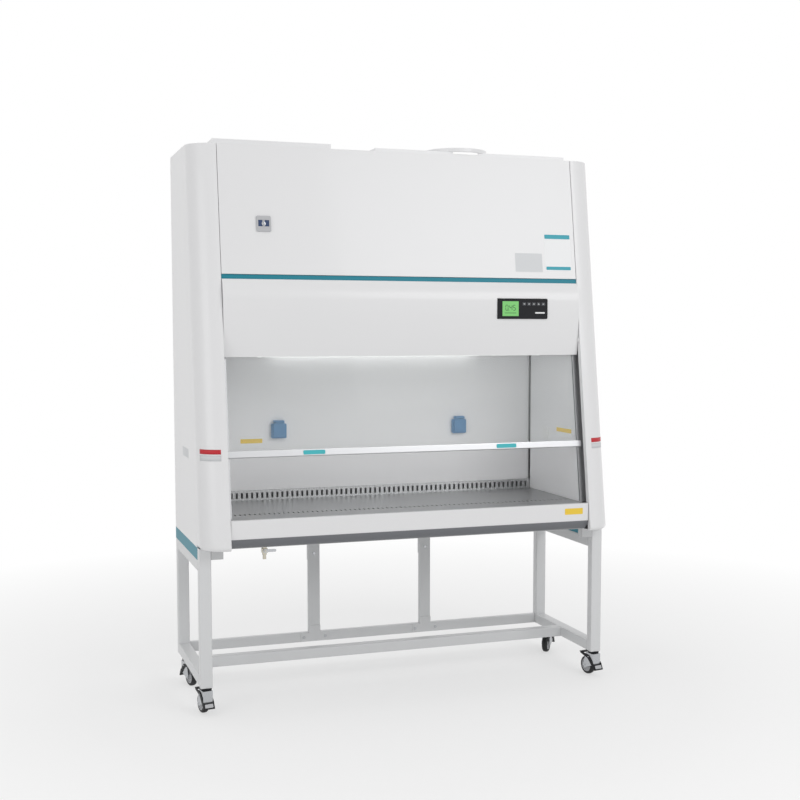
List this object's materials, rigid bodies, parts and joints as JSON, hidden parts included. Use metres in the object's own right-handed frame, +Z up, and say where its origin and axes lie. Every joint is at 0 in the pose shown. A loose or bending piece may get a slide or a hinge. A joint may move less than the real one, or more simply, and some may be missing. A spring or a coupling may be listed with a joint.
{
  "type": "biosafety cabinet",
  "caption": "Wide biosafety cabinet with a leaning front, sliding glass sash, stainless work chamber and a tube stand on locking casters.",
  "frame": {"origin": "on the floor, under the middle of the cabinet", "axes": "+Z up, +Y towards the back, +X to the right seen from the front"},
  "size_m": [1.7884, 0.7075, 2.29],
  "materials": {
    "body_white": "smooth powder coat, slight gloss",
    "stand_white": "smooth powder coat",
    "teal_paint": "powder coat",
    "stainless": "fine brushed stainless sheet",
    "galvanised": "zinc-plated sheet",
    "zinc": "bright zinc plate",
    "clear_glass": "laminated safety glass",
    "rail_metal": "satin anodised",
    "drive_steel": "machined steel",
    "black_plastic": "moulded, satin",
    "grey_plastic": "moulded",
    "white_plastic": "moulded",
    "teal_plastic": "moulded, satin",
    "blue_plastic": "moulded, satin",
    "display_green": "dark green display window",
    "key_grey": "moulded keys",
    "tread": "black rubber tread",
    "filter_media": "pleated glass-fibre paper in a galvanised frame",
    "lamp_glass": "white phosphor tube",
    "brass": "nickel-free brass"
  },
  "bodies": {
    "cabinet": {"stand_legs": "stand_white", "stand_side_rails": "stand_white", "stand_cross_rails": "stand_white", "stand_rear_posts": "stand_white", "stand_bolts": "zinc", "base_side_beams": "teal_paint", "base_pan": "stainless", "front_sill": "body_white", "side_panels": "body_white", "rear_panel": "body_white", "top_panel": "body_white", "exhaust_collar": "body_white", "corner_covers": "body_white", "trim_strip": "teal_paint", "lower_front_panel": "body_white", "control_bezel": "black_plastic", "display_window": "display_green", "work_surface": "stainless", "rear_slot_panel": "stainless", "chamber_liner": "stainless", "service_port_cap": "white_plastic", "ceiling_diffuser": "body_white", "socket_boxes": "blue_plastic", "sash_guides": "rail_metal", "sash_drive_motor": "black_plastic", "hepa_filters": "filter_media", "blower_housing": "galvanised", "blower_motor": "drive_steel", "lamps": "lamp_glass", "drain_valve": "brass", "caster_bearings": "black_plastic"},
    "front_panel": {"upper_front_panel": "body_white", "key_switch_bezel": "grey_plastic"},
    "lock_barrel": {"key_barrel": "zinc"},
    "sash": {"sash_glass": "clear_glass", "sash_handle_rail": "rail_metal", "sash_grips": "teal_plastic", "sash_racks": "grey_plastic"},
    "sash_shaft": {"sash_pinion_shaft": "drive_steel"},
    "impeller": {"blower_impeller": "galvanised"},
    "lid_left": {"socket_lid_left": "blue_plastic"},
    "lid_right": {"socket_lid_right": "blue_plastic"},
    "drain_handle": {"drain_lever": "zinc"},
    "key_1_body": {"key_1": "key_grey"},
    "key_2_body": {"key_2": "key_grey"},
    "key_3_body": {"key_3": "key_grey"},
    "key_4_body": {"key_4": "key_grey"},
    "key_5_body": {"key_5": "key_grey"},
    "fork_front_left": {"caster_fork_front_left": "zinc"},
    "wheel_front_left": {"caster_wheel_front_left": "tread"},
    "rocker_front_left": {"caster_rocker_front_left": "black_plastic"},
    "fork_front_right": {"caster_fork_front_right": "zinc"},
    "wheel_front_right": {"caster_wheel_front_right": "tread"},
    "rocker_front_right": {"caster_rocker_front_right": "black_plastic"},
    "fork_rear_left": {"caster_fork_rear_left": "zinc"},
    "wheel_rear_left": {"caster_wheel_rear_left": "tread"},
    "rocker_rear_left": {"caster_rocker_rear_left": "black_plastic"},
    "fork_rear_right": {"caster_fork_rear_right": "zinc"},
    "wheel_rear_right": {"caster_wheel_rear_right": "tread"},
    "rocker_rear_right": {"caster_rocker_rear_right": "black_plastic"}
  },
  "joints": [
    {"name": "sash_slide", "type": "slide", "parent": "cabinet", "child": "sash", "axis": [0, 0.1461, 0.9893], "range_m": [-0.235, 0.364]},
    {"name": "sash_shaft_turn", "type": "hinge", "parent": "cabinet", "child": "sash_shaft", "pos_m": [0, -0.13856, 1.46532], "axis": [1, 0, 0], "range_deg": [-655, 425]},
    {"name": "front_panel_hinge", "type": "hinge", "parent": "cabinet", "child": "front_panel", "pos_m": [0, -0.10872, 2.24], "axis": [-1, 0, 0], "range_deg": [0, 85]},
    {"name": "lock_turn", "type": "hinge", "parent": "front_panel", "child": "lock_barrel", "pos_m": [-0.593, -0.16521, 1.93871], "axis": [0, -0.9893, 0.1461], "range_deg": [0, 90]},
    {"name": "impeller_spin", "type": "hinge", "parent": "cabinet", "child": "impeller", "pos_m": [0, 0.11, 1.845], "axis": [1, 0, 0], "continuous": true},
    {"name": "socket_lid_left_hinge", "type": "hinge", "parent": "cabinet", "child": "lid_left", "pos_m": [-0.44, 0.247, 1.12], "axis": [-1, 0, 0], "range_deg": [0, 110]},
    {"name": "socket_lid_right_hinge", "type": "hinge", "parent": "cabinet", "child": "lid_right", "pos_m": [0.407, 0.247, 1.12], "axis": [-1, 0, 0], "range_deg": [0, 110]},
    {"name": "drain_lever_turn", "type": "hinge", "parent": "cabinet", "child": "drain_handle", "pos_m": [-0.622, -0.2735, 0.65], "axis": [0, 1, 0], "range_deg": [0, 90]},
    {"name": "key_1_press", "type": "slide", "parent": "cabinet", "child": "key_1_body", "axis": [0, 1, 0], "range_m": [0, 0.0006], "stiffness_N_per_m": 400, "springref_m": -0.0005},
    {"name": "key_2_press", "type": "slide", "parent": "cabinet", "child": "key_2_body", "axis": [0, 1, 0], "range_m": [0, 0.0006], "stiffness_N_per_m": 400, "springref_m": -0.0005},
    {"name": "key_3_press", "type": "slide", "parent": "cabinet", "child": "key_3_body", "axis": [0, 1, 0], "range_m": [0, 0.0006], "stiffness_N_per_m": 400, "springref_m": -0.0005},
    {"name": "key_4_press", "type": "slide", "parent": "cabinet", "child": "key_4_body", "axis": [0, 1, 0], "range_m": [0, 0.0006], "stiffness_N_per_m": 400, "springref_m": -0.0005},
    {"name": "key_5_press", "type": "slide", "parent": "cabinet", "child": "key_5_body", "axis": [0, 1, 0], "range_m": [0, 0.0006], "stiffness_N_per_m": 400, "springref_m": -0.0005},
    {"name": "swivel_front_left", "type": "hinge", "parent": "cabinet", "child": "fork_front_left", "pos_m": [-0.856, -0.23, 0.105], "axis": [0, 0, 1], "continuous": true},
    {"name": "roll_front_left", "type": "hinge", "parent": "fork_front_left", "child": "wheel_front_left", "pos_m": [-0.86225, -0.19455, 0.04], "axis": [0.9848, 0.1736, 0], "continuous": true},
    {"name": "rocker_tip_front_left", "type": "hinge", "parent": "fork_front_left", "child": "rocker_front_left", "pos_m": [-0.85739, -0.22212, 0.084], "axis": [0.9848, 0.1736, 0], "range_deg": [-8, 2]},
    {"name": "swivel_front_right", "type": "hinge", "parent": "cabinet", "child": "fork_front_right", "pos_m": [0.856, -0.23, 0.105], "axis": [0, 0, 1], "continuous": true},
    {"name": "roll_front_right", "type": "hinge", "parent": "fork_front_right", "child": "wheel_front_right", "pos_m": [0.84852, -0.19479, 0.04], "axis": [0.9781, 0.2079, 0], "continuous": true},
    {"name": "rocker_tip_front_right", "type": "hinge", "parent": "fork_front_right", "child": "rocker_front_right", "pos_m": [0.85434, -0.22218, 0.084], "axis": [0.9781, 0.2079, 0], "range_deg": [-8, 2]},
    {"name": "swivel_rear_left", "type": "hinge", "parent": "cabinet", "child": "fork_rear_left", "pos_m": [-0.856, 0.23, 0.105], "axis": [0, 0, 1], "continuous": true},
    {"name": "roll_rear_left", "type": "hinge", "parent": "fork_rear_left", "child": "wheel_rear_left", "pos_m": [-0.84668, 0.19523, 0.04], "axis": [-0.9659, -0.2588, 0], "continuous": true},
    {"name": "rocker_tip_rear_left", "type": "hinge", "parent": "fork_rear_left", "child": "rocker_rear_left", "pos_m": [-0.85393, 0.22227, 0.084], "axis": [-0.9659, -0.2588, 0], "range_deg": [-8, 2]},
    {"name": "swivel_rear_right", "type": "hinge", "parent": "cabinet", "child": "fork_rear_right", "pos_m": [0.856, 0.23, 0.105], "axis": [0, 0, 1], "continuous": true},
    {"name": "roll_rear_right", "type": "hinge", "parent": "fork_rear_right", "child": "wheel_rear_right", "pos_m": [0.83286, 0.20242, 0.04], "axis": [-0.766, 0.6428, 0], "continuous": true},
    {"name": "rocker_tip_rear_right", "type": "hinge", "parent": "fork_rear_right", "child": "rocker_rear_right", "pos_m": [0.85086, 0.22387, 0.084], "axis": [-0.766, 0.6428, 0], "range_deg": [-8, 2]}
  ],
  "couplings": [
    {"joint": "sash_shaft_turn", "follows": "sash_slide", "rad_per_m": -31.25}
  ]
}
